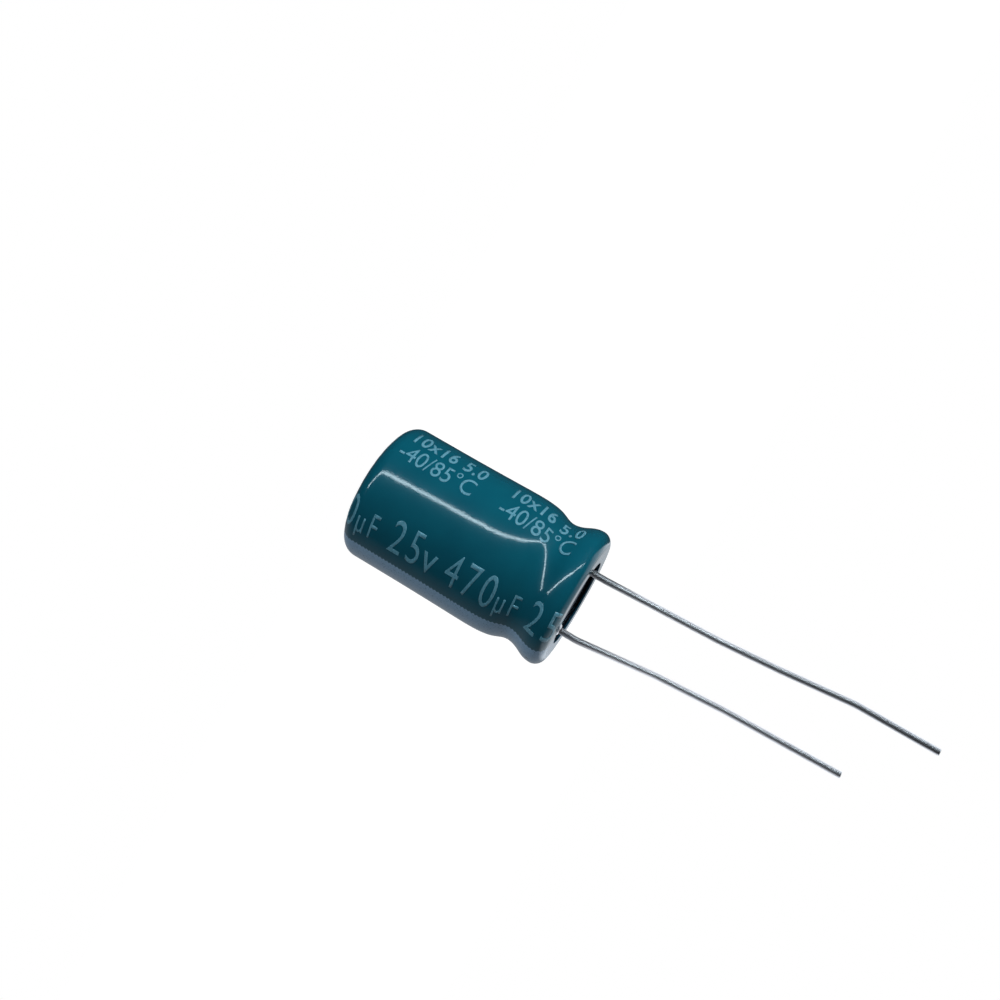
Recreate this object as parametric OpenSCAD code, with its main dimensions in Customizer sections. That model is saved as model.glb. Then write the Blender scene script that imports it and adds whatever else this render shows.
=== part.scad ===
// Radial aluminium electrolytic capacitor: a beaded and curled can under a
// shrunk sleeve, a rubber end seal with two leads, and the wound element.
// It stands on its closed end with its leads pointing up.

/* [Can] */
// Outside diameter of the drawn aluminium can
can_diameter = 10; // [9.5:0.1:12.5]
// Height of the can, from its closed end to the crown of its curled rim
can_height = 16.2; // [14:0.1:25]
// Thickness of the can's side wall
can_wall = 0.26; // [0.2:0.01:0.32]
// Thickness of the can's closed end
can_base = 0.4; // [0.3:0.05:0.7]
// Outside radius of the edge round the closed end
can_corner = 0.95; // [0.7:0.05:1.4]
// Length of each of the two scored lines of the safety vent
vent_length = 5.6; // [4:0.1:6.2]
// Width of a scored vent line
vent_width = 0.3; // [0.2:0.05:0.5]
// Depth of a scored vent line
vent_depth = 0.2; // [0.1:0.02:0.26]

/* [Bead and curl] */
// Distance from the rim's crown down to the bottom of the bead
bead_drop = 2.74; // [2.6:0.02:3.4]
// Depth to which the bead is rolled into the can
bead_depth = 0.46; // [0.3:0.02:0.6]
// Height over which the bead slopes out towards the closed end
bead_lower = 1.65; // [1.4:0.05:2.4]
// Upright height between the bead's upper slope and the rim's curl
rim_height = 0.1; // [0.05:0.05:0.6]
// How far the side draws in gently ahead of the bead
taper_depth = 0.15; // [0:0.01:0.2]
// Height over which the side draws in ahead of the bead
taper_height = 3.3; // [2.5:0.1:5]
// How far the rim stands out beyond the can's side
rim_flare = 0.02; // [0:0.01:0.1]
// Outside radius of the rim's inward curl
curl_radius = 0.62; // [0.5:0.02:0.7]
// Turn of the curl from the side wall over to its tip, in degrees
curl_turn = 205; // [180:5:225]

/* [Sleeve] */
// Thickness of the shrunk sleeve
sleeve_wall = 0.13; // [0.08:0.01:0.2]
// Depth to which the sleeve is drawn into the bead
sleeve_bead_depth = 0.4; // [0.2:0.02:0.44]
// Width of the sleeve's flat lip inside the rounded edge of the closed end
base_lip_width = 0.55; // [0.1:0.05:1]
// Free space between the leads and the sleeve's lip round them
lead_lip_gap = 0.45; // [0.2:0.05:0.6]

/* [End seal] */
// Height of the rubber seal
seal_height = 4.2; // [3.6:0.1:5]
// Depth of the seal's edge below the rim's crown
seal_recess = 0.3; // [0.2:0.02:0.4]
// Height by which the squeezed seal swells at its middle
seal_dome = 0.12; // [0:0.02:0.2]
// Bevel round the seal's inner end
seal_bevel = 0.3; // [0.1:0.05:0.5]

/* [Leads] */
// Distance from the can's side in to the middle of each lead at the seal
lead_inset = 2.5; // [2.2:0.05:2.9]
// Diameter of a lead wire
lead_diameter = 0.5; // [0.4:0.05:0.8]
// Length of wire of the long anode lead beyond the sleeve
anode_reach = 25.1; // [22:0.1:35]
// Length of wire of the short cathode lead beyond the sleeve
cathode_reach = 20.9; // [18:0.1:30]
// Straight lengths of the anode lead before its four bends
anode_spans = [1, 8.3, 4.1, 5.2]; // [1:0.1:9]
// Angles of the anode lead's four bends, in degrees
anode_bends = [2.2, 2.2, 1.4, -5.5]; // [-8:0.1:8]
// Straight lengths of the cathode lead before its three bends
cathode_spans = [1, 5.6, 4.9]; // [1:0.1:7]
// Angles of the cathode lead's three bends, in degrees
cathode_bends = [6.6, -2.7, -2.2]; // [-8:0.1:8]
// Direction in which both leads lean, in degrees round the can
lean_direction = 159.6; // [150:0.2:170]
// Diameter of the weld bead at a lead's foot
weld_diameter = 1; // [0.9:0.05:1.2]
// Height of the weld bead
weld_height = 0.42; // [0.3:0.02:0.6]
// Height of the weld bead's upright edge
weld_shoulder = 0.12; // [0.05:0.01:0.2]
// Radius to which a lead's axis is bent
bend_radius = 4; // [2:0.5:6]

/* [Tabs] */
// Diameter of a tab's round shank in the seal
shank_diameter = 1.3; // [1.2:0.05:1.5]
// Depth of a shank's end below the seal's face
shank_recess = 0.12; // [0.05:0.01:0.25]
// Thickness of a tab's flattened blade
tab_thickness = 0.2; // [0.1:0.02:0.26]
// Distance from a blade's end to the bottom edge of the foils
blade_margin = 1.5; // [0.5:0.1:3]

/* [Winding] */
// Radius of the hollow left by the winding mandrel
core_radius = 0.9; // [0.7:0.05:1.1]
// Thickness of the etched anode foil
anode_foil_thickness = 0.1; // [0.08:0.01:0.12]
// Thickness of the cathode foil
cathode_foil_thickness = 0.05; // [0.03:0.01:0.06]
// Thickness of a paper separator
paper_thickness = 0.05; // [0.04:0.01:0.07]
// Free space between neighbouring layers
layer_gap = 0.0125; // [0.01:0.0025:0.02]
// Height by which the papers stand out beyond the foils at each end
paper_overhang = 0.6; // [0.3:0.1:1]
// Thickness of the tape that closes the winding
tape_thickness = 0.06; // [0.04:0.01:0.08]
// Width of the closing tape
tape_width = 8; // [5:0.5:9]

/* [Fit] */
// Gap between the can and the sleeve shrunk onto it
shrink_gap = 0.02; // [0.01:0.01:0.04]
// Gap between the squeezed seal and what it grips
seal_gap = 0.02; // [0.01:0.01:0.04]
// Least free space round the winding in the can
element_clearance = 0.15; // [0.1:0.05:0.3]
// Free height between the winding and the seal, for the tabs
tab_room = 1; // [0.9:0.1:1.6]

/* [Hidden] */

$fn = 64;
arc_steps = 8;
curl_steps = 16;
bead_steps = 34;
vent_turns = [0, 90];

can_radius = can_diameter / 2;
lead_pitch = can_diameter - 2 * lead_inset;
base_z = sleeve_wall + shrink_gap;
crown_z = base_z + can_height;
top_z = crown_z + shrink_gap + sleeve_wall;
bead_z = crown_z - bead_drop;
bead_upper = bead_drop - curl_radius - rim_height;
curl_z = crown_z - curl_radius;
curl_centre = can_radius + rim_flare - curl_radius;
corner_centre = can_radius - can_corner;
inner_corner = can_corner - can_wall;
floor_z = base_z + can_base;
base_lip = corner_centre - base_lip_width;
lead_lip = lead_pitch / 2 + lead_diameter / 2 + lead_lip_gap;

seal_face_z = crown_z - seal_recess;
seal_bottom_z = seal_face_z - seal_height;
seal_edge = curl_centre - curl_radius - seal_gap;
shank_end_z = seal_face_z - shank_recess;

element_bottom_z = floor_z + element_clearance;
element_top_z = seal_bottom_z - tab_room;
foil_bottom_z = element_bottom_z + paper_overhang;
foil_top_z = element_top_z - paper_overhang;
shank_foot_z = seal_bottom_z - tab_room / 3;
neck_z = element_top_z + tab_room / 6;
blade_top_z = neck_z + tab_room / 6;

// Layers from the middle outwards: paper, anode foil, paper, cathode foil
anode_layer = 1;
cathode_layer = 3;
layer_thickness = [
  paper_thickness, anode_foil_thickness, paper_thickness,
  cathode_foil_thickness
];
function layer_offset(n) =
  n == 0 ? 0 : layer_offset(n - 1) + layer_thickness[n - 1] + layer_gap;
winding_pitch = layer_offset(len(layer_thickness) - 1)
  + cathode_foil_thickness + layer_gap;
bulge_height = tab_thickness + layer_gap;
winding_room = side_radius(element_top_z, bead_depth) - can_wall
  - element_clearance - tape_thickness - bulge_height - core_radius;
turns = floor(winding_room / winding_pitch) - 1;

// The winding is drawn with straight lengths between rays round its axis
turn_steps = 16;
foil_start = turn_steps / 2;
winding_end = turns * turn_steps;
foil_end = winding_end - turn_steps / 2;
cathode_tab_step = turn_steps * tab_turn(cathode_layer, 0);
anode_tab_step = turn_steps * (tab_turn(anode_layer, 0.5) + 0.5);

// Whole turns inside a tab that lies on a layer at half the lead pitch
function tab_turn(layer, part_turn) = round(
  (lead_pitch / 2 - tab_thickness / 2 - core_radius - layer_offset(layer)
    - layer_thickness[layer] - layer_gap) / winding_pitch - part_turn);

// Points on an arc round a centre, from one angle to another
function arc(centre, radius, from, to, steps) = [
  for (i = [0 : steps])
    let (a = from + (to - from) * i / steps)
      centre + radius * [cos(a), sin(a)]
];

function reversed(points) = [
  for (i = [len(points) - 1 : -1 : 0]) points[i]
];

// A smooth dip of height 1 between -1 and 1
function dip(t) = abs(t) < 1 ? (1 + cos(180 * t)) / 2 : 0;

// Outside radius of the can's side at a height, with a bead of some depth:
// it draws in gently, dips into the bead and runs out to the rim
function side_radius(z, depth) =
  let (rise = z - bead_z)
    rise < 0
      ? can_radius - depth * dip(rise / bead_lower)
        - taper_depth * dip(rise / taper_height)
      : can_radius + rim_flare
        - (rim_flare + taper_depth + depth) * dip(rise / bead_upper);

// Points up the beaded side, moved out from the can by a distance
function bead_side(out, depth) = [
  for (i = [0 : bead_steps])
    let (z = bead_z - taper_height
      + (taper_height + bead_upper) * i / bead_steps)
      [side_radius(z, depth) + out, z]
];

// Outline of the sleeve from lip to lip, at a distance from the can
function sleeve_line(out) = concat(
  [[base_lip, base_z - out]],
  arc([corner_centre, base_z + can_corner], can_corner + out, -90, 0,
    arc_steps),
  bead_side(out, sleeve_bead_depth),
  arc([curl_centre, curl_z], curl_radius + out, 0, 90, arc_steps),
  [[lead_lip, crown_z + out]]
);

module sleeve() {
  color("teal")
    rotate_extrude()
      polygon(concat(
        sleeve_line(shrink_gap + sleeve_wall),
        reversed(sleeve_line(shrink_gap))
      ));
}

// Half section of the can's wall, from the middle of its closed end
can_section = concat(
  [[0, base_z]],
  arc([corner_centre, base_z + can_corner], can_corner, -90, 0, arc_steps),
  bead_side(0, bead_depth),
  arc([curl_centre, curl_z], curl_radius, 0, curl_turn, curl_steps),
  arc([curl_centre, curl_z], curl_radius - can_wall, curl_turn, 0,
    curl_steps),
  reversed(bead_side(-can_wall, bead_depth)),
  arc([corner_centre, floor_z + inner_corner], inner_corner, 0, -90,
    arc_steps),
  [[0, floor_z]]
);

module vent_lines() {
  for (turn = vent_turns)
    rotate([0, 0, turn])
      translate([-vent_length / 2, -vent_width / 2, base_z - vent_depth])
        cube([vent_length, vent_width, 2 * vent_depth]);
}

module can() {
  color("silver")
    difference() {
      rotate_extrude() polygon(can_section);
      vent_lines();
    }
}

// Half section of the seal: its waist lies in the bead, and its edge fills
// the curl, whose tip bites into it
seal_inner_curl = curl_radius - can_wall - seal_gap;
seal_tip_turn = curl_turn + asin(seal_gap / (curl_radius - can_wall));
seal_lift = curl_z - seal_bottom_z;
seal_side = side_radius(seal_bottom_z, bead_depth) - can_wall - seal_gap;
seal_section = concat(
  [[0, seal_bottom_z]],
  [[seal_side - seal_bevel, seal_bottom_z]],
  [for (i = [0 : bead_steps])
    let (z = seal_bottom_z + seal_bevel
      + (seal_lift - seal_bevel) * i / bead_steps)
      [side_radius(z, bead_depth) - can_wall - seal_gap, z]],
  arc([curl_centre, curl_z], seal_inner_curl, 0, seal_tip_turn, curl_steps),
  arc([curl_centre, curl_z], curl_radius + seal_gap, seal_tip_turn, 180,
    arc_steps),
  [[seal_edge, seal_face_z]],
  [for (i = [1 : arc_steps])
    let (r = seal_edge * (1 - i / arc_steps))
      [r, seal_face_z + seal_dome * (1 - pow(r / seal_edge, 2))]]
);

module end_seal() {
  bore = shank_diameter + 2 * seal_gap;
  color("#202224")
    difference() {
      rotate_extrude() polygon(seal_section);
      for (side = [-1, 1])
        translate([side * lead_pitch / 2, 0, seal_bottom_z - seal_bevel])
          cylinder(h = seal_height + 2 * seal_bevel, d = bore);
    }
}

// A short arc of wire that starts upwards and turns towards +X
module wire_bend(angle) {
  translate([bend_radius, 0, 0])
    rotate([90, 0, 180])
      rotate_extrude(angle = angle)
        translate([bend_radius, 0])
          circle(d = lead_diameter);
}

// Carries what follows a bend to the bend's end
module after_bend(angle) {
  translate([
    bend_radius * (1 - cos(angle)), 0, bend_radius * sin(angle)
  ])
    rotate([0, angle, 0])
      children();
}

// Wire from bend number i on; a negative bend leans the other way
module wire(spans, bends, last, i = 0) {
  if (i == len(bends)) {
    cylinder(h = last, d = lead_diameter);
  } else {
    flip = bends[i] < 0 ? 180 : 0;
    cylinder(h = spans[i], d = lead_diameter);
    translate([0, 0, spans[i]])
      rotate([0, 0, flip]) {
        wire_bend(abs(bends[i]));
        after_bend(abs(bends[i]))
          rotate([0, 0, -flip])
            wire(spans, bends, last, i + 1);
      }
  }
}

function total(values, i = 0) =
  i == len(values) ? 0 : values[i] + total(values, i + 1);

// A lead with its weld bead, standing on the end of its tab's shank
module lead(reach, spans, bends) {
  foot = top_z - shank_end_z;
  last = reach - total(spans) - total([
    for (bend = bends) bend_radius * abs(bend) * PI / 180
  ]);
  translate([0, 0, shank_end_z]) {
    rotate_extrude()
      polygon([
        [0, 0], [weld_diameter / 2, 0],
        [weld_diameter / 2, weld_shoulder],
        [lead_diameter / 2, weld_height],
        [lead_diameter / 2, foot], [0, foot]
      ]);
    translate([0, 0, foot])
      rotate([0, 0, lean_direction])
        wire(spans, bends, last);
  }
}

module anode_lead() {
  color("#b9bcc0")
    translate([-lead_pitch / 2, 0, 0])
      lead(anode_reach, anode_spans, anode_bends);
}

module cathode_lead() {
  color("#b9bcc0")
    translate([lead_pitch / 2, 0, 0])
      lead(cathode_reach, cathode_spans, cathode_bends);
}

// How far a tab pushes out the layers beyond it: fully across its blade,
// by half one ray further on
function tab_bulge(i, layer, tab_step, tab_layer) =
  let (
    turn = round((i - tab_step) / turn_steps),
    rays = abs(i - tab_step - turn * turn_steps),
    beyond = turn > 0 || (turn == 0 && layer > tab_layer)
  )
    !beyond || rays > 2 ? 0 : bulge_height * (rays == 2 ? 0.5 : 1);

// Radius of a layer's inner face at ray i of the spiral
function layer_radius(i, layer) =
  core_radius + winding_pitch * i / turn_steps + layer_offset(layer)
    + tab_bulge(i, layer, anode_tab_step, anode_layer)
    + tab_bulge(i, layer, cathode_tab_step, cathode_layer);

function ray(i) = [cos(360 * i / turn_steps), sin(360 * i / turn_steps)];

// Outline of one layer's turns, from one ray to another
function layer_outline(layer, thickness, from, to, out = 0) = concat(
  [for (i = [from : to]) (layer_radius(i, layer) + out) * ray(i)],
  [for (i = [to : -1 : from])
    (layer_radius(i, layer) + out + thickness) * ray(i)]
);

module wound_layer(layer, from, to, bottom, top) {
  translate([0, 0, bottom])
    linear_extrude(height = top - bottom)
      polygon(layer_outline(layer, layer_thickness[layer], from, to));
}

module inner_separator() {
  color("#e9e3d2")
    wound_layer(0, 0, winding_end, element_bottom_z, element_top_z);
}

module anode_foil() {
  color("#8d9094")
    wound_layer(anode_layer, foil_start, foil_end, foil_bottom_z,
      foil_top_z);
}

module outer_separator() {
  color("#e9e3d2")
    wound_layer(2, 0, winding_end, element_bottom_z, element_top_z);
}

module cathode_foil() {
  color("#b5b8bb")
    wound_layer(cathode_layer, foil_start, foil_end, foil_bottom_z,
      foil_top_z);
}

// The tape goes on along the inner paper's path, round the last turn
module element_tape() {
  middle = (element_bottom_z + element_top_z) / 2;
  color("#d9c27a")
    translate([0, 0, middle - tape_width / 2])
      linear_extrude(height = tape_width)
        polygon(layer_outline(0, tape_thickness, winding_end + 1,
          winding_end + turn_steps));
}

// Section of a tab's blade, flat against the foil that it is joined to
function blade_outline(layer, tab_step) = layer_outline(
  layer, tab_thickness, tab_step - 1, tab_step + 1,
  layer_thickness[layer] + layer_gap);

// The wedge pressed off one side of a shank as its neck is flattened
module neck_wedge(neck_face, shank_face) {
  far_face = shank_face + (shank_face > neck_face ? 1 : -1);
  rotate([90, 0, 0])
    translate([0, 0, -shank_diameter])
      linear_extrude(height = 2 * shank_diameter)
        polygon([
          [neck_face, neck_z], [shank_face, shank_foot_z],
          [far_face, shank_foot_z], [far_face, neck_z - tab_room],
          [neck_face, neck_z - tab_room]
        ]);
}

// A tab: a round shank in the seal, flattened to a blade on the foil
module tab(layer, tab_step, turn) {
  blade_face = layer_radius(tab_step, layer) + layer_thickness[layer]
    + layer_gap;
  middle = lead_pitch / 2;
  rotate([0, 0, turn])
    difference() {
      translate([middle, 0, neck_z])
        cylinder(h = shank_end_z - neck_z, d = shank_diameter);
      neck_wedge(blade_face * ray(1).x, middle - shank_diameter / 2);
      neck_wedge(blade_face + tab_thickness, middle + shank_diameter / 2);
    }
  translate([0, 0, foil_bottom_z + blade_margin])
    linear_extrude(height = blade_top_z - foil_bottom_z - blade_margin)
      polygon(blade_outline(layer, tab_step));
}

module anode_tab() {
  color("#c9ccd0")
    tab(anode_layer, anode_tab_step, 180);
}

module cathode_tab() {
  color("#c9ccd0")
    tab(cathode_layer, cathode_tab_step, 0);
}

sleeve();
can();
end_seal();
anode_lead();
cathode_lead();
anode_tab();
cathode_tab();
inner_separator();
anode_foil();
outer_separator();
cathode_foil();
element_tape();
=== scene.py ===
"""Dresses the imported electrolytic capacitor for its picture.

The capacitor stands on its closed end with the leads up, and +X runs from the
long lead to the short one. Lengths here are in millimetres and are turned to
metres as points are made. Azimuths are degrees round the can from +X.
"""
import math
import random

import bmesh
import bpy
from mathutils import Matrix, Vector


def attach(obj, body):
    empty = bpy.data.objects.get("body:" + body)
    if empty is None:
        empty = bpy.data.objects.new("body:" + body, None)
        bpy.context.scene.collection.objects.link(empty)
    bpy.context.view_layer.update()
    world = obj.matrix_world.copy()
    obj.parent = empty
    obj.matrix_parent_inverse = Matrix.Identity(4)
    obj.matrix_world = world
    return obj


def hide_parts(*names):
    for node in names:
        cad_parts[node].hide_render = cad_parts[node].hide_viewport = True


MM = 0.001
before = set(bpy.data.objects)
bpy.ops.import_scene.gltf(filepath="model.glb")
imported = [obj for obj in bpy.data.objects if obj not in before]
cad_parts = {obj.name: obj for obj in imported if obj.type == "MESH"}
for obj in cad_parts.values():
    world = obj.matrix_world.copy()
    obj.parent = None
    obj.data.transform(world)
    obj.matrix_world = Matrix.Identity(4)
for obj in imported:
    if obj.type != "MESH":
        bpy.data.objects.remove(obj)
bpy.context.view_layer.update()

# The can and its sleeve, as the solids have them
CAN_RADIUS = 5.0
CAN_CORNER = 0.95
CROWN_Z = 16.35
TOP_Z = 16.5
CURL_RADIUS = 0.68
FILM_GAP = 0.02
FILM_WALL = 0.13
FILM_OUT = FILM_GAP + FILM_WALL
FILM_RADIUS = CAN_RADIUS + FILM_OUT
BASE_Z = FILM_OUT
BASE_LIP = 3.5
LEAD_LIP = 3.2

# How much the film's side leans in, in degrees, at heights up to the rim
SIDE_LEANS = (
    (4.0, 0.0), (7.5, -0.6), (9.4, -0.8), (10.3, -0.2), (11.0, 2.0),
    (11.6, 5.5), (12.1, 10.5), (12.5, 18.0), (12.85, 25.0), (13.15, 20.5),
    (13.4, 9.5), (13.68, -3.0), (13.95, -12.3), (14.2, -18.5),
    (14.45, -24.5), (14.65, -26.5), (14.85, -25.0), (15.05, -19.5),
    (15.25, -13.5), (15.45, -7.0), (15.67, 0.0),
)
# Each lean is averaged over these heights, so that the side has no kinks
LEAN_SPREAD = (-0.12, -0.06, 0, 0.06, 0.12)

# The leads; both lean in one upright plane
LEAD_RADIUS = 0.25
LEAD_OFFSET = 2.5
BEND_RADIUS = 4.0
LEAN_PLANE = math.radians(159.6)
SHANK_Z = 15.93
WELD_RADIUS = 0.5
WELD_HEIGHT = 0.42


# ---- small helpers for points and meshes ----

def at(radius, azimuth, z):
    """The point, in metres, at a radius and azimuth round the can."""
    turn = math.radians(azimuth)
    return Vector((radius * math.cos(turn), radius * math.sin(turn), z)) * MM


def smooth(mesh):
    """Smooth shading, with edges kept sharp past 40 degrees."""
    mesh.shade_smooth()
    mesh.set_sharp_from_angle(angle=math.radians(40))


def add_piece(name, bm, material, nodes=()):
    """Makes a piece of the object from a bmesh, riding on the one body."""
    mesh = bpy.data.meshes.new(name)
    bmesh.ops.recalc_face_normals(bm, faces=bm.faces)
    bm.to_mesh(mesh)
    bm.free()
    smooth(mesh)
    piece = bpy.data.objects.new(name, mesh)
    bpy.context.scene.collection.objects.link(piece)
    mesh.materials.append(material)
    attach(piece, "root")
    if nodes:
        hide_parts(*nodes)
    return piece


def add_rings(bm, rings, closed=False):
    """Joins rings of points, each as long as the next, by quads."""
    made = [[bm.verts.new(point) for point in ring] for ring in rings]
    count = len(made[0])
    pairs = list(zip(made, made[1:]))
    if closed:
        pairs.append((made[-1], made[0]))
    for low, high in pairs:
        for i in range(count):
            j = (i + 1) % count
            bm.faces.new((low[i], low[j], high[j], high[i]))
    return made


class Waves:
    """A smooth, closed wave round the can, the same at each run."""

    def __init__(self, seed, counts):
        draw = random.Random(seed)
        self.terms = [
            (count, draw.uniform(0, 360), draw.uniform(0.5, 1))
            for count in counts
        ]

    def value(self, azimuth):
        """The wave at an azimuth, between -1 and 1."""
        total = sum(
            size * math.sin(math.radians(count * azimuth + phase))
            for count, phase, size in self.terms
        )
        return total / len(self.terms)


# ---- the sleeve's outline ----

def arc(centre_r, centre_z, radius, start, end, steps):
    """Points of an arc in the half plane of radius and height."""
    turns = [start + (end - start) * i / steps for i in range(steps + 1)]
    return [
        (
            centre_r + radius * math.cos(math.radians(turn)),
            centre_z + radius * math.sin(math.radians(turn)),
        )
        for turn in turns
    ]


def lean_at(z):
    """The side's lean at a height, between the ones listed."""
    for (low, first), (high, second) in zip(SIDE_LEANS, SIDE_LEANS[1:]):
        if z <= high:
            share = max(0.0, z - low) / (high - low)
            return first + (second - first) * share
    return SIDE_LEANS[-1][1]


def film_side():
    """Radius and height up the film's side, from its leans."""
    bottom, top = SIDE_LEANS[0][0], SIDE_LEANS[-1][0]
    steps = 120
    step = (top - bottom) / steps
    radius = CAN_RADIUS
    points = [(radius, bottom)]
    for i in range(steps):
        middle = bottom + step * (i + 0.5)
        near = [lean_at(middle + shift) for shift in LEAN_SPREAD]
        lean = math.radians(sum(near) / len(near))
        radius -= math.tan(lean) * step
        points.append((radius, bottom + step * (i + 1)))
    return points


def film_outline(out):
    """The film's outline from lip to lip, at a distance from the can."""
    corner_r = CAN_RADIUS - CAN_CORNER
    corner_z = BASE_Z + CAN_CORNER
    side = film_side()
    rim_r, curl_z = side[-1]
    curl_r = rim_r - CURL_RADIUS
    arc_steps = 14
    lip_steps = 5
    straight_steps = 12
    straight_step = (side[0][1] - corner_z) / straight_steps
    straight = [
        (CAN_RADIUS + out, corner_z + straight_step * i)
        for i in range(1, straight_steps)
    ]
    return (
        [(BASE_LIP, BASE_Z - out), (BASE_LIP + 0.15, BASE_Z - out)]
        + arc(corner_r, corner_z, CAN_CORNER + out, -90, 0, arc_steps)
        + straight
        + [(radius + out, z) for radius, z in side]
        + arc(curl_r, curl_z, CURL_RADIUS + out, 0, 90, arc_steps)[1:]
        + [
            (curl_r + (LEAD_LIP - curl_r) * i / lip_steps, CROWN_Z + out)
            for i in range(1, lip_steps + 1)
        ]
    )


OUTER = film_outline(FILM_OUT)
INNER = film_outline(FILM_GAP)


def length_along(outline):
    """Length along an outline, up to each of its points."""
    lengths = [0.0]
    for (r0, z0), (r1, z1) in zip(outline, outline[1:]):
        lengths.append(lengths[-1] + math.hypot(r1 - r0, z1 - z0))
    return lengths


OUTER_LENGTHS = length_along(OUTER)
# The print is cut off here, by length along the outline
PRINT_START = 0.8
PRINT_END = OUTER_LENGTHS[-1] - 0.05


def on_film(length, azimuth, lift):
    """A point just over the film, at a length along its outline."""
    length = max(0.0, min(OUTER_LENGTHS[-1] - 1e-6, length))
    i = max(
        k for k in range(len(OUTER) - 1) if OUTER_LENGTHS[k] <= length
    )
    (r0, z0), (r1, z1) = OUTER[i], OUTER[i + 1]
    share = (length - OUTER_LENGTHS[i]) / (
        OUTER_LENGTHS[i + 1] - OUTER_LENGTHS[i]
    )
    step = math.hypot(r1 - r0, z1 - z0)
    out_r, out_z = (z1 - z0) / step, (r0 - r1) / step
    return at(
        r0 + (r1 - r0) * share + out_r * lift,
        azimuth,
        z0 + (z1 - z0) * share + out_z * lift,
    )


# ---- material helpers ----

def new_material(name):
    """A material with its shader, and a maker of nodes for it."""
    material = bpy.data.materials.new(name)
    material.use_nodes = True
    return material, Nodes(material.node_tree)


class Nodes:
    """Adds shader nodes; an input is a number, a colour or a socket."""

    def __init__(self, tree):
        self.tree = tree
        self.shader = tree.nodes.get("Principled BSDF")

    def add(self, kind, inputs=None, **settings):
        """A new node, its settings first and then its inputs."""
        made = self.tree.nodes.new(kind)
        for key, value in settings.items():
            setattr(made, key, value)
        for key, value in (inputs or {}).items():
            self.put(made.inputs[key], value)
        return made

    def put(self, socket, value):
        """Links another node's socket to this one, or sets its value."""
        if isinstance(value, bpy.types.NodeSocket):
            self.tree.links.new(value, socket)
        else:
            socket.default_value = value

    def math(self, operation, *values, clamp=False):
        """One step of arithmetic."""
        made = self.add(
            "ShaderNodeMath", dict(enumerate(values)),
            operation=operation, use_clamp=clamp,
        )
        return made.outputs[0]

    def mix(self, share, first, second):
        """A colour between two others."""
        inputs = {"Factor": share, "A": first, "B": second}
        made = self.add("ShaderNodeMix", inputs, data_type="RGBA")
        return made.outputs["Result"]

    def blend(self, value, low, high, out_low=0.0, out_high=1.0):
        """Maps a value from one range to another, and keeps it in there."""
        made = self.add("ShaderNodeMapRange", {
            "Value": value,
            "From Min": low,
            "From Max": high,
            "To Min": out_low,
            "To Max": out_high,
        })
        return made.outputs[0]

    def spread(self, noise, out_low=0.0, out_high=1.0):
        """Maps noise to a range; most of it is between 0.3 and 0.7."""
        return self.blend(noise, 0.3, 0.7, out_low, out_high)

    def dot(self, direction, vector):
        """How far a direction points along a vector."""
        made = self.add(
            "ShaderNodeVectorMath", {0: direction, 1: vector},
            operation="DOT_PRODUCT",
        )
        return made.outputs["Value"]

    def place(self, stretch=(1, 1, 1)):
        """Object coordinates in millimetres, stretched along the axes."""
        made = self.add("ShaderNodeMapping", {
            "Vector": self.add("ShaderNodeTexCoord").outputs["Object"],
            "Scale": [share / MM for share in stretch],
        })
        return made.outputs[0]

    def axes(self, vector):
        """The three parts of a vector."""
        return self.add("ShaderNodeSeparateXYZ", {0: vector}).outputs

    def radius(self, x, y):
        """Distance from the can's axis."""
        x_squared = self.math("MULTIPLY", x, x)
        y_squared = self.math("MULTIPLY", y, y)
        return self.math("SQRT", self.math("ADD", x_squared, y_squared))

    def noise(self, scale, detail, stretch=(1, 1, 1)):
        """Noise with a number of grains to the millimetre."""
        made = self.add("ShaderNodeTexNoise", {
            "Vector": self.place(stretch),
            "Scale": scale,
            "Detail": detail,
        })
        return made.outputs["Fac"]

    def bump(self, height, depth, below=None):
        """A bump of a depth in millimetres, on top of another one."""
        inputs = {"Height": height, "Distance": depth * MM, "Strength": 1.0}
        if below is not None:
            inputs["Normal"] = below
        return self.add("ShaderNodeBump", inputs).outputs[0]

    def glow(self, color, strength):
        """A light of a colour and strength."""
        inputs = {"Color": color, "Strength": strength}
        return self.add("ShaderNodeEmission", inputs).outputs[0]

    def mix_shaders(self, share, first, second):
        """A surface between two others."""
        inputs = {0: share, 1: first, 2: second}
        return self.add("ShaderNodeMixShader", inputs).outputs[0]

    def show(self, surface):
        """Makes this surface the material's own."""
        output = self.tree.nodes["Material Output"]
        self.put(output.inputs["Surface"], surface)


def set_shader(nodes, **values):
    """Sets the shader's own sockets by name."""
    names = {
        "color": "Base Color",
        "roughness": "Roughness",
        "metallic": "Metallic",
        "ior": "IOR",
        "normal": "Normal",
        "coat": "Coat Weight",
        "coat_roughness": "Coat Roughness",
        "coat_normal": "Coat Normal",
    }
    for key, value in values.items():
        nodes.put(nodes.shader.inputs[names[key]], value)


# ---- materials ----

TEAL = (0.0025, 0.093, 0.134, 1)
TEAL_DEEP = (0.002, 0.082, 0.121, 1)
# Painted shade: a darker teal for the film's edge inside the seal's opening
TEAL_SHADED_EDGE = (0.006, 0.050, 0.085, 1)
INK = (0.125, 0.320, 0.410, 1)
STRIPE = (0.275, 0.455, 0.645, 1)
# The stripe's middle and half of its width, as azimuths
STRIPE_MIDDLE = -1.2
STRIPE_HALF = 58.2
# The teeth along the stripe's edges: half of their pitch, and their slope
TOOTH_HALF = 0.14
TOOTH_SLOPE = 0.9
# The minus mark's middle, half of its length and width, and its line
MARK_Z = 7.6
MARK_LENGTH = 2.0
MARK_WIDTH = 0.62
MARK_LINE = 0.24
# The one larger speck: radius, azimuth and height, and its soft edge
SPECK = (5.2, -41.7, 15.5)
SPECK_INNER = 0.10
SPECK_OUTER = 0.17


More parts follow.
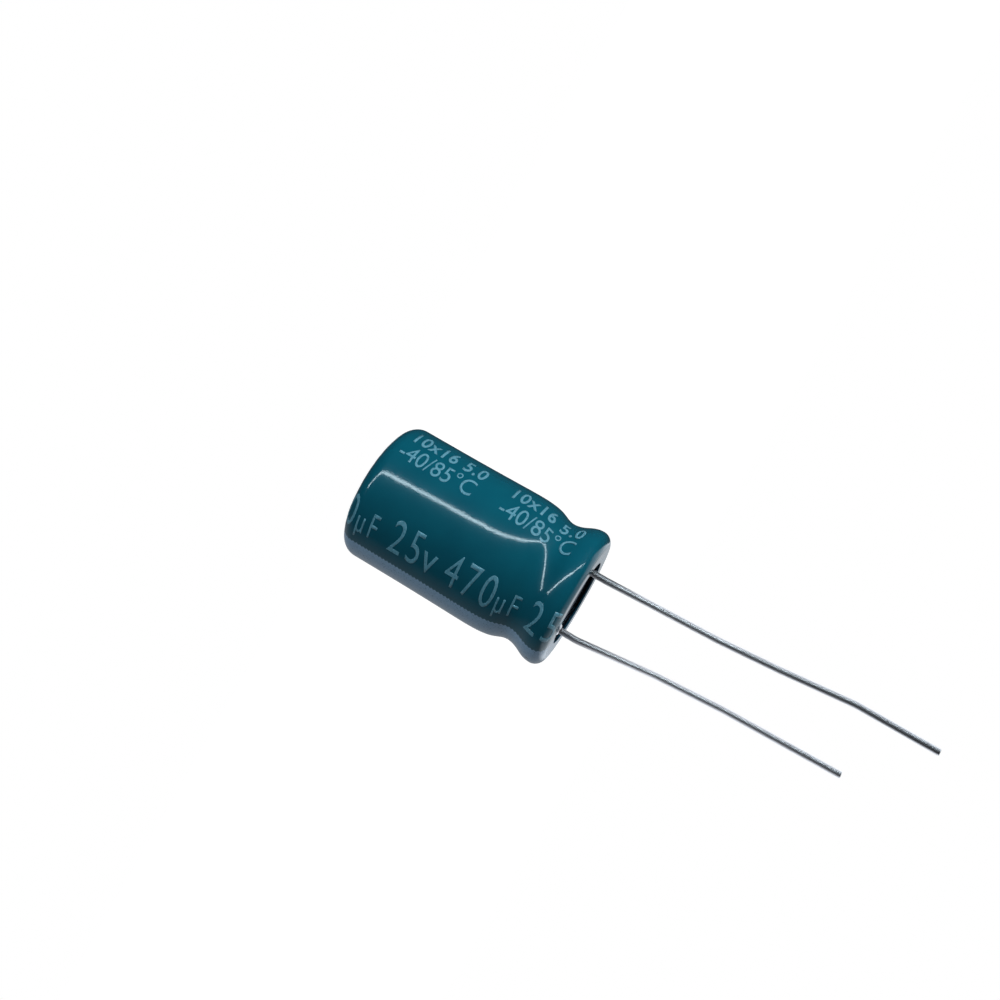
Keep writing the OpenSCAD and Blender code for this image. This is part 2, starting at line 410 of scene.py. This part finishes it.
def film_surface(nodes, roughness):
    """The glossy shrunk film's grain, as roughness and bump."""
    fine = nodes.noise(10, 2)
    cloudy = nodes.noise(0.9, 2)
    grain = nodes.bump(fine, 0.003)
    normal = nodes.bump(cloudy, 0.006, grain)
    rough = nodes.spread(cloudy, roughness, roughness + 0.04)
    set_shader(
        nodes, roughness=0.25, ior=1.22, normal=normal,
        coat=0.8, coat_roughness=rough, coat_normal=normal,
    )


def mark_bar(nodes, along, from_middle, inset):
    """The minus mark's bar, with its sides moved in by an inset."""
    length = MARK_LENGTH - inset
    width = MARK_WIDTH - inset
    fade = 0.04
    return nodes.math(
        "MULTIPLY",
        nodes.blend(along, length, length + fade, 1, 0),
        nodes.blend(from_middle, width, width + fade, 1, 0),
    )


def stripe_ink(nodes, x, y, z):
    """How inked the film is: the stripe, less its mark and its specks."""
    turn = nodes.math("ARCTAN2", y, x)
    aside = nodes.math("SUBTRACT", turn, math.radians(STRIPE_MIDDLE))
    across = nodes.math("MULTIPLY", aside, FILM_RADIUS)
    from_middle = nodes.math("ABSOLUTE", across)

    # The stripe's edge is a row of fine teeth
    tooth = nodes.math("PINGPONG", z, TOOTH_HALF)
    tooth = nodes.math("MULTIPLY", tooth, TOOTH_SLOPE)
    half_width = math.radians(STRIPE_HALF) * FILM_RADIUS
    edge = nodes.math("ADD", tooth, half_width)
    past_edge = nodes.math("SUBTRACT", edge, from_middle)
    stripe = nodes.blend(past_edge, -0.03, 0.03)

    # A hollow mark in the stripe, as a minus sign
    along = nodes.math("ABSOLUTE", nodes.math("SUBTRACT", z, MARK_Z))
    outer = mark_bar(nodes, along, from_middle, 0)
    inner = mark_bar(nodes, along, from_middle, MARK_LINE)
    mark = nodes.math("SUBTRACT", outer, inner, clamp=True)
    inked = nodes.math(
        "MULTIPLY", stripe, nodes.math("SUBTRACT", 1.0, mark), clamp=True
    )

    # Pinholes in the stripe's ink let the film through
    speckle = nodes.blend(nodes.noise(9, 3), 0.56, 0.70, 1.0, 0.45)
    inked = nodes.math("MULTIPLY", inked, speckle)

    # One larger speck near the rim
    gap = nodes.add(
        "ShaderNodeVectorMath", {0: nodes.place(), 1: at(*SPECK) / MM},
        operation="DISTANCE",
    ).outputs["Value"]
    off_speck = nodes.blend(gap, SPECK_INNER, SPECK_OUTER)
    return nodes.math("MULTIPLY", inked, off_speck)


def film_material():
    """Teal film with its pale stripe."""
    material, nodes = new_material("shrunk_film")
    x, y, z = nodes.axes(nodes.place())
    film = nodes.mix(nodes.spread(nodes.noise(0.5, 3)), TEAL, TEAL_DEEP)
    color = nodes.mix(stripe_ink(nodes, x, y, z), film, STRIPE)

    # The cut edge round the seal has no print, and its teal is darkened there:
    # painted shade of the seal's opening
    radius = nodes.radius(x, y)
    near_edge = nodes.blend(radius, LEAD_LIP + 0.02, LEAD_LIP + 0.1, 1.0, 0.0)
    at_top = nodes.blend(z, 16, 16.1)
    edge_shade = nodes.math("MULTIPLY", near_edge, at_top)
    set_shader(nodes, color=nodes.mix(edge_shade, color, TEAL_SHADED_EDGE))
    film_surface(nodes, 0.05)
    return material


def ink_material():
    """Pale ink of the figures, a little worn."""
    material, nodes = new_material("pale_ink")
    worn = nodes.blend(nodes.noise(7, 4), 0.48, 0.75, 0.0, 0.55)
    color = nodes.mix(worn, INK, TEAL)
    set_shader(nodes, color=color)
    film_surface(nodes, 0.13)
    return material


def wire_material():
    """Tinned wire with fine drawn lines, darker towards its end.

    Where it is seen edge on its colour is painted paler: a painted reflection.
    """
    material, nodes = new_material("tinned_wire")
    lines = nodes.noise(1, 3, stretch=(14, 14, 0.25))
    patches = nodes.noise(1.1, 3)
    color = nodes.mix(
        nodes.spread(patches), (0.74, 0.69, 0.70, 1), (0.62, 0.57, 0.58, 1)
    )
    height = nodes.axes(nodes.place())["Z"]
    # The colour darkens towards the wire's end
    darker_to_end = nodes.blend(height, 22, 40, 0.0, 0.6)
    color = nodes.mix(darker_to_end, color, (0.26, 0.25, 0.27, 1))
    # Painted reflection: the colour turns paler where the wire is seen edge on
    facing = nodes.add("ShaderNodeLayerWeight").outputs["Facing"]
    painted_edge_sheen = nodes.blend(facing, 0.15, 0.6)
    color = nodes.mix(painted_edge_sheen, color, (1.0, 0.98, 0.99, 1))
    rough = nodes.spread(patches, 0.46, 0.54)
    normal = nodes.bump(lines, 0.0003)
    set_shader(
        nodes, color=color, roughness=rough, metallic=1.0, normal=normal
    )
    return material


def metal_material(name, color, roughness, lines, depth):
    """Sheet metal with lines or grain of some depth."""
    material, nodes = new_material(name)
    grain = nodes.noise(1, 4, stretch=lines)
    cloudy = nodes.noise(0.6, 3)
    shade = tuple(part * 0.85 for part in color[:3]) + (1,)
    tint = nodes.mix(nodes.spread(cloudy), color, shade)
    rough = nodes.spread(grain, roughness, roughness + 0.12)
    normal = nodes.bump(grain, depth)
    set_shader(
        nodes, color=tint, roughness=rough, metallic=1.0, normal=normal
    )
    return material


def can_material():
    """Drawn aluminium, with turned rings on its closed end."""
    material, nodes = new_material("drawn_can")
    x, y, z = nodes.axes(nodes.place())
    across = nodes.math("ADD", nodes.radius(x, y), z)
    rings = nodes.add(
        "ShaderNodeTexNoise", {"W": across, "Scale": 14, "Detail": 4},
        noise_dimensions="1D",
    ).outputs["Fac"]
    grain = nodes.noise(11, 3)
    cloudy = nodes.noise(0.5, 3)
    color = nodes.mix(
        nodes.spread(cloudy), (0.80, 0.81, 0.82, 1), (0.68, 0.69, 0.71, 1)
    )
    rough = nodes.spread(grain, 0.3, 0.46)
    turned = nodes.bump(rings, 0.006)
    normal = nodes.bump(grain, 0.003, turned)
    set_shader(
        nodes, color=color, roughness=rough, metallic=1.0, normal=normal
    )
    return material


def rubber_material():
    """Matte moulded rubber with a fine grain and paler dust."""
    material, nodes = new_material("seal_rubber")
    grain = nodes.noise(16, 4)
    dust = nodes.noise(2.2, 5)
    color = nodes.mix(
        nodes.blend(dust, 0.45, 0.8),
        (0.022, 0.032, 0.048, 1),
        (0.052, 0.064, 0.084, 1),
    )
    rough = nodes.spread(grain, 0.62, 0.85)
    normal = nodes.bump(grain, 0.012)
    set_shader(nodes, color=color, roughness=rough, normal=normal)
    return material


def paper_material():
    """Kraft paper, soaked, with fibres that run along the roll."""
    material, nodes = new_material("soaked_paper")
    fibres = nodes.noise(1, 4, stretch=(3, 3, 16))
    color = nodes.mix(
        nodes.blend(fibres, 0.35, 0.7),
        (0.66, 0.58, 0.42, 1),
        (0.50, 0.42, 0.28, 1),
    )
    normal = nodes.bump(fibres, 0.01)
    set_shader(nodes, color=color, roughness=0.7, normal=normal)
    return material


def tape_material():
    """Clear yellowish tape that closes the winding."""
    material, nodes = new_material("winding_tape")
    grain = nodes.noise(3, 3)
    color = nodes.mix(
        nodes.spread(grain), (0.62, 0.47, 0.17, 1), (0.52, 0.38, 0.13, 1)
    )
    normal = nodes.bump(grain, 0.008)
    set_shader(nodes, color=color, roughness=0.38, normal=normal)
    return material


FILM = film_material()
PALE_INK = ink_material()
WIRE = wire_material()

CAD_LOOKS = {
    "can": can_material(),
    "end_seal": rubber_material(),
    "anode_tab": metal_material(
        "tab_metal", (0.78, 0.79, 0.80, 1), 0.3, (20, 20, 0.6), 0.003
    ),
    "anode_foil": metal_material(
        "etched_foil", (0.40, 0.41, 0.42, 1), 0.62, (14, 14, 14), 0.006
    ),
    "cathode_foil": metal_material(
        "plain_foil", (0.68, 0.69, 0.70, 1), 0.34, (12, 12, 1), 0.002
    ),
    "inner_separator": paper_material(),
    "element_tape": tape_material(),
}
CAD_LOOKS["cathode_tab"] = CAD_LOOKS["anode_tab"]
CAD_LOOKS["outer_separator"] = CAD_LOOKS["inner_separator"]
for node_name, look in CAD_LOOKS.items():
    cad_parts[node_name].material_slots[0].material = look


# ---- the sleeve ----

def nearness(distance, reach):
    """One at no distance, falling to none at the reach."""
    return max(0.0, 1 - distance / reach)


def make_sleeve():
    """The shrunk film: a closed shell, with slightly uneven lips.

    Its outer face also has a faint twisted ripple, and puckers at the base.
    """
    segments = 240
    lip_depth = 0.05
    ripple_depth = 0.006
    ripple_twist = 9
    pucker_depth = 0.03
    lip_in = Waves(3, (2, 3, 5, 8, 13))
    puckers = Waves(7, (14, 19, 26, 33))
    ripple = Waves(11, (2, 3, 4))
    turns = [360 * i / segments for i in range(segments)]
    loop = OUTER + INNER[::-1]
    outer_count = len(OUTER)
    rings = []
    for number, (r, z) in enumerate(loop):
        # How near each point is to the base, and to the edge of each lip
        near_base = nearness(z, 1.2) if r < 4.7 else 0.0
        lead_edge = nearness(r - LEAD_LIP, 0.8) if z > 16.2 else 0.0
        base_edge = nearness(r - BASE_LIP, 0.4) if z < 0.3 else 0.0
        uneven = lip_depth * (lead_edge + base_edge)
        is_outer = number < outer_count
        ring = []
        for turn in turns:
            radius = r + uneven * lip_in.value(turn)
            height = z
            if is_outer:
                phase = turn + ripple_twist * z
                radius += ripple_depth * ripple.value(phase)
                raised = near_base * (1 + puckers.value(turn)) / 2
                height += pucker_depth * raised
            ring.append(at(radius, turn, height))
        rings.append(ring)
    bm = bmesh.new()
    add_rings(bm, rings, closed=True)
    add_piece("sleeve_film", bm, FILM, ["sleeve"])


# ---- the figures on the sleeve ----

def text_mesh(words, spacing, weight):
    """A flat bmesh of some words, at a spacing and weight of letters."""
    curve = bpy.data.curves.new("words", "FONT")
    curve.body = words
    curve.resolution_u = 6
    curve.space_character = spacing
    curve.offset = weight
    holder = bpy.data.objects.new("words", curve)
    bpy.context.scene.collection.objects.link(holder)
    bpy.context.view_layer.update()
    evaluated = holder.evaluated_get(bpy.context.evaluated_depsgraph_get())
    flat = bpy.data.meshes.new_from_object(evaluated)
    bm = bmesh.new()
    bm.from_mesh(flat)
    bpy.data.objects.remove(holder)
    bpy.data.curves.remove(curve)
    bpy.data.meshes.remove(flat)
    return bm


def cut_grid(bm, axis, step):
    """Cuts a flat mesh along evenly spaced lines, so that it can bend."""
    values = [vert.co[axis] for vert in bm.verts]
    low, high = min(values), max(values)
    normal = Vector((axis == 0, axis == 1, 0))
    for k in range(1, int((high - low) / step) + 1):
        point = normal * (low + k * step)
        bmesh.ops.bisect_plane(
            bm,
            geom=bm.verts[:] + bm.edges[:] + bm.faces[:],
            plane_co=point,
            plane_no=normal,
            dist=1e-7,
        )


def lay_on_film(bm, start, length, foot, height):
    """Stretches a flat word to its size and lays it on the film.

    It starts at a length along the film's outline, its foot at an azimuth.
    """
    lift = 0.012
    xs = [vert.co.x for vert in bm.verts]
    low, high = min(xs), max(xs)
    tall = max(vert.co.y for vert in bm.verts)
    for vert in bm.verts:
        vert.co.x = (vert.co.x - low) / (high - low) * length
        vert.co.y = vert.co.y / tall * height
    cut_grid(bm, 0, 0.12)
    cut_grid(bm, 1, 0.3)
    past = [
        vert for vert in bm.verts
        if not PRINT_START < start + vert.co.x < PRINT_END
    ]
    bmesh.ops.delete(bm, geom=past, context="VERTS")
    for vert in bm.verts:
        turn = foot - math.degrees(vert.co.y / FILM_RADIUS)
        vert.co = on_film(start + vert.co.x, turn, lift)


def print_words(name, words, shifts, spacing=1.0, weight=0.0):
    """Prints words along the can, once at each shift.

    Each word is its text, its start along the film's outline, its length,
    its foot's azimuth and its height.
    """
    thickness = 0.02
    whole = bmesh.new()
    for text, first, length, foot, height in words:
        for start in [first + shift for shift in shifts]:
            if start > OUTER_LENGTHS[-1] or start + length < PRINT_START:
                continue
            bm = text_mesh(text, spacing, weight)
            lay_on_film(bm, start, length, foot, height)
            part = bpy.data.meshes.new("part")
            bm.to_mesh(part)
            bm.free()
            whole.from_mesh(part)
            bpy.data.meshes.remove(part)
    piece = add_piece(name, whole, PALE_INK)
    ink = piece.modifiers.new("ink", "SOLIDIFY")
    ink.thickness = thickness * MM
    ink.offset = -1


def make_print():
    """Three rows of plain ratings, each repeated along the can."""
    foot = -72.4
    rating = (
        ("25", 4.94, 2.33, foot, 2.54),
        ("v", 7.51, 1.1, foot, 1.54),
        ("470", 9.36, 3.7, foot, 2.54),
        ("µF", 13.32, 1.56, foot, 1.95),
    )
    print_words(
        "print_rating", rating, (-11.02, 0, 10.82),
        spacing=1.25, weight=-0.002,
    )
    temperatures = (("-40/85°C", 2.38, 5.8, -142, 1.47),)
    print_words("print_range", temperatures, (0, 7.95))
    size = (("10x16 5.0", 2.57, 5.7, -163, 1.4),)
    print_words("print_size", size, (0, 7.95), spacing=1.1, weight=0.018)


# ---- the leads ----

def lead_path(offset, spans, bends, reach):
    """Points and directions up a lead's axis, from its weld to its tip.

    Its spans run between the bends, and the first one from the sleeve's top.
    Its reach is the length from there to the tip.
    """
    bend_steps = 6
    points = []
    side, z, lean = 0.0, SHANK_Z, 0.0
    total = 0.0

    def go(distance, steps):
        """Adds the points of a straight length, up to its end."""
        nonlocal side, z, total
        for _ in range(steps):
            points.append((side, z, lean))
            side += math.sin(lean) * distance / steps
            z += math.cos(lean) * distance / steps
        total += distance

    go(WELD_HEIGHT, 12)
    go(TOP_Z - SHANK_Z - WELD_HEIGHT, 2)
    total = 0.0
    for span, bend in zip(spans, bends):
        go(span, 16)
        turn = math.radians(bend)
        for _ in range(bend_steps):
            lean += turn / bend_steps
            go(abs(turn) * BEND_RADIUS / bend_steps, 1)
    go(reach - total, 24)
    points.append((side, z, lean))
    return [
        (
            Vector((
                offset + aside * math.cos(LEAN_PLANE),
                aside * math.sin(LEAN_PLANE),
                height,
            )),
            Vector((
                math.sin(tilt) * math.cos(LEAN_PLANE),
                math.sin(tilt) * math.sin(LEAN_PLANE),
                math.cos(tilt),
            )),
        )
        for aside, height, tilt in points
    ]


def weld_radius(height):
    """Radius of the rounded weld bead, up to the bare wire."""
    share = min(1.0, height / WELD_HEIGHT)
    fullness = math.sqrt(max(0.0, 1 - share ** 2.6))
    return LEAD_RADIUS + (WELD_RADIUS - LEAD_RADIUS) * fullness


def lead_ring(point, ahead, height, lump):
    """A ring of points round a lead's axis, lumpy at the weld bead."""
    segments = 40
    lump_depth = 0.05
    first = ahead.cross(Vector((0, 1, 0))).normalized()
    second = ahead.cross(first)
    radius = weld_radius(height)
    share = (radius - LEAD_RADIUS) / (WELD_RADIUS - LEAD_RADIUS)
    ring = []
    for i in range(segments):
        turn = 360 * i / segments
        angle = math.radians(turn)
        grown = radius + lump_depth * share * lump.value(turn)
        out = first * math.cos(angle) + second * math.sin(angle)
        ring.append((point + out * grown) * MM)
    return ring


def nipped_tip(ring, point, ahead):
    """The last ring as two: a small bevel and a slightly slanted face."""
    bevel = 0.05
    face_share = 0.86
    slant = Vector((0.16, 0.1, 0))
    arms = [corner / MM - point for corner in ring]
    return [
        [corner - ahead * bevel * MM for corner in ring],
        [
            (point + arm * face_share - ahead * abs(arm.dot(slant))) * MM
            for arm in arms
        ],
    ]


def make_lead(name, offset, spans, bends, reach, seed):
    """One tinned lead: weld bead, kinked wire and cut tip."""
    path = lead_path(offset, spans, bends, reach)
    lump = Waves(seed, (1, 2, 3))
    foot_z = path[0][0].z
    rings = [
        lead_ring(point, ahead, point.z - foot_z, lump)
        for point, ahead in path
    ]
    rings[-1:] = nipped_tip(rings[-1], *path[-1])
    bm = bmesh.new()
    made = add_rings(bm, rings)
    bm.faces.new(made[0])
    bm.faces.new(made[-1])
    add_piece(name, bm, WIRE, [name])


# ---- the stage: floor, world, lamps and camera ----

CAMERA_AZIMUTH = -110.4
COOL_WHITE = (0.86, 0.93, 1, 1)
# The world's strength on matte surfaces
FILL = 0.18


def from_camera(distance, azimuth, elevation, target):
    """A place round the object, azimuths counted from the camera's side."""
    turn = math.radians(CAMERA_AZIMUTH + azimuth)
    lift = math.radians(elevation)
    return Vector((
        target[0] + distance * math.cos(lift) * math.cos(turn),
        target[1] + distance * math.cos(lift) * math.sin(turn),
        target[2] + distance * math.sin(lift),
    ))


def add_sheet(name, corners, material):
    """A flat sheet of the stage, its corners turned to face the camera."""
    turn = Matrix.Rotation(math.radians(CAMERA_AZIMUTH), 3, "Z")
    mesh = bpy.data.meshes.new(name)
    mesh.from_pydata(
        [turn @ Vector(corner) * MM for corner in corners],
        [], [(0, 1, 2, 3)],
    )
    mesh.materials.append(material)
    sheet = bpy.data.objects.new(name, mesh)
    bpy.context.scene.collection.objects.link(sheet)
    sheet.visible_diffuse = False
    sheet.visible_shadow = False
    return sheet


def make_floor():
    """A white floor under and behind the capacitor."""
    near, wide, deep = 5.6, 1500, 3000
    # Matte white with so much glow in it that it shows as pure white
    glow_strength = 1.35
    glow_share = 0.72
    material, nodes = new_material("white_floor")
    set_shader(nodes, color=(0.8, 0.8, 0.8, 1), roughness=0.9)
    paths = nodes.add("ShaderNodeLightPath").outputs
    seen = nodes.math(
        "MAXIMUM", paths["Is Camera Ray"], paths["Is Transmission Ray"]
    )
    white = nodes.mix_shaders(
        nodes.math("MULTIPLY", seen, glow_share),
        nodes.shader.outputs[0],
        nodes.glow((1, 1, 1, 1), glow_strength),
    )
    # From underneath the floor is clear, so that the closed end shows
    under = nodes.add("ShaderNodeNewGeometry").outputs["Backfacing"]
    clear = nodes.add("ShaderNodeBsdfTransparent").outputs[0]
    nodes.show(nodes.mix_shaders(under, white, clear))
    corners = (
        (near, -wide, 0), (near, wide, 0), (-deep, wide, 0), (-deep, -wide, 0),
    )
    floor = add_sheet("floor", corners, material)
    floor.visible_glossy = False


def add_card(name, aside, front, back, shades, low=-8, high=19):
    """A card that only reflections show, upright beside the capacitor.

    It stands to one side of the axis, the picture's upper side if aside is
    above 0, and runs from its front edge, nearer the camera, to its back
    edge. Its shades are strengths at distances from its front edge.
    """
    material, nodes = new_material(name)
    turn = math.radians(CAMERA_AZIMUTH)
    ahead = nodes.dot(nodes.place(), (math.cos(turn), math.sin(turn), 0))
    depth = nodes.math("SUBTRACT", front, ahead)
    strength = shades[0][1]
    for (near, first), (far, second) in zip(shades, shades[1:]):
        step = nodes.blend(depth, near, far, 0.0, second - first)
        strength = nodes.math("ADD", step, strength)
    nodes.show(nodes.glow(COOL_WHITE, strength))
    corners = (
        (front, -aside, low), (back, -aside, low),
        (back, -aside, high), (front, -aside, high),
    )
    card = add_sheet(name, corners, material)
    card.visible_camera = False
    card.visible_transmission = False


def make_cards():
    """What the film and the wires show as reflections.

    Beside the film these are the dark neighbour, above in the picture, and
    the shade below. Beside the wires they are the white sheet under them.
    """
    dark = ((0, 0.01), (10, 0.03))
    shade = ((0, 0.02), (8.4, 0.02), (9.8, 0.14), (11.7, 0.24), (15, 0.3))
    white = ((0, 1.0), (1, 1.0))
    add_card("card_dark", aside=6.5, front=4.6, back=-14, shades=dark)
    add_card("card_shade", aside=-8, front=14, back=-25, shades=shade)
    by_wires = {"back": -25, "shades": white, "low": 19, "high": 60}
    add_card("card_above", aside=7, front=2.2, **by_wires)
    add_card("card_below", aside=-7, front=3, **by_wires)


def make_world():
    """White to the camera; behind the object also to its reflections.

    Reflections of what is in front of the object, or under it, are dark.
    """
    world = bpy.data.worlds.new("studio")
    bpy.context.scene.world = world
    world.use_nodes = True
    nodes = Nodes(world.node_tree)
    paths = nodes.add("ShaderNodeLightPath").outputs
    seen = paths["Is Camera Ray"]
    mirrored = nodes.math(
        "MAXIMUM", paths["Is Glossy Ray"], paths["Is Transmission Ray"]
    )

    # What reflections show, by their direction
    direction = nodes.add("ShaderNodeTexCoord").outputs["Generated"]
    turn = math.radians(CAMERA_AZIMUTH)
    behind = nodes.dot(direction, (-math.cos(turn), -math.sin(turn), 0))
    aside = nodes.dot(direction, (math.sin(turn), -math.cos(turn), 0))
    # On one side the dark part reaches further back
    later = nodes.blend(aside, -0.2, 0.5, 0.0, 0.35)
    depth = nodes.math("SUBTRACT", behind, later)
    around = nodes.blend(depth, -0.35, 0.1, 0.02, 0.62)
    under = nodes.blend(nodes.axes(direction)["Z"], -0.75, -0.35, 0.06, 1.0)
    in_view = nodes.math("MULTIPLY", around, under)

    in_gloss = nodes.math("MULTIPLY", mirrored, in_view)
    white = nodes.math("MAXIMUM", seen, in_gloss)
    not_mirrored = nodes.math("SUBTRACT", 1.0, mirrored)
    fill = nodes.math("MULTIPLY", not_mirrored, FILL)
    background = world.node_tree.nodes["Background"]
    nodes.put(background.inputs["Strength"], nodes.math("MAXIMUM", white, fill))
    nodes.put(
        background.inputs["Color"], nodes.mix(seen, COOL_WHITE, (1, 1, 1, 1))
    )


def add_lamp(name, place, target, width, height, power, up=None, slide=0):
    """A lamp that faces a target, its height along up, slid along that."""
    light = bpy.data.lights.new(name, "AREA")
    light.shape = "RECTANGLE"
    light.size = width * MM
    light.size_y = height * MM
    light.energy = power
    lamp = bpy.data.objects.new(name, light)
    bpy.context.scene.collection.objects.link(lamp)
    back = (place - target).normalized()
    upward = up or Vector((0, 0, 1))
    right = upward.cross(back).normalized()
    upward = back.cross(right)
    turn = Matrix((right, upward, back)).transposed().to_4x4()
    place = (place + upward * slide) * MM
    lamp.matrix_world = Matrix.Translation(place) @ turn
    lamp.visible_camera = False
    return lamp


def make_lamps():
    """A slanted strip, which draws the long highlight, and a soft key."""
    middle = Vector((0, 0, 8))
    turn = math.radians(CAMERA_AZIMUTH)
    # The strip's own direction: a little to the camera, aside, and down
    x, y, z = 0.13, 0.595, -0.792
    along = Vector((
        x * math.cos(turn) - y * math.sin(turn),
        x * math.sin(turn) + y * math.cos(turn),
        z,
    ))
    strip = add_lamp(
        "strip", from_camera(100, -30.5, -13.4, middle), middle,
        width=6, height=290, power=0.1, up=along, slide=-29,
    )
    strip.data.color = (0.72, 0.92, 1.0)
    key = add_lamp(
        "key", from_camera(160, -75, 20, middle), middle,
        width=120, height=120, power=0.185,
    )
    key.visible_glossy = False


def make_camera():
    """The camera that the photograph's outline gave."""
    right = Vector((-0.40873, 0.32808, 0.85165))
    up = Vector((-0.84105, 0.22687, -0.49106))
    back = Vector((-0.35431, -0.91699, 0.18321))
    place = Vector((-31.09, -70.73, 22.53))
    data = bpy.data.cameras.new("camera")
    data.lens = 39.97
    data.sensor_width = 36
    data.clip_start = 0.001
    data.clip_end = 10
    camera = bpy.data.objects.new("camera", data)
    bpy.context.scene.collection.objects.link(camera)
    turn = Matrix((right, up, back)).transposed().to_4x4()
    camera.matrix_world = Matrix.Translation(place * MM) @ turn
    bpy.context.scene.camera = camera


make_sleeve()
make_print()
make_lead(
    "anode_lead", -LEAD_OFFSET,
    spans=(1, 8.3, 4.1, 5.2), bends=(2.2, 2.2, 1.4, -5.5), reach=25.1, seed=21,
)
make_lead(
    "cathode_lead", LEAD_OFFSET,
    spans=(1, 5.6, 4.9), bends=(6.6, -2.7, -2.2), reach=20.9, seed=22,
)
make_floor()
make_cards()
make_world()
make_lamps()
make_camera()

bpy.context.scene.view_settings.view_transform = "Standard"
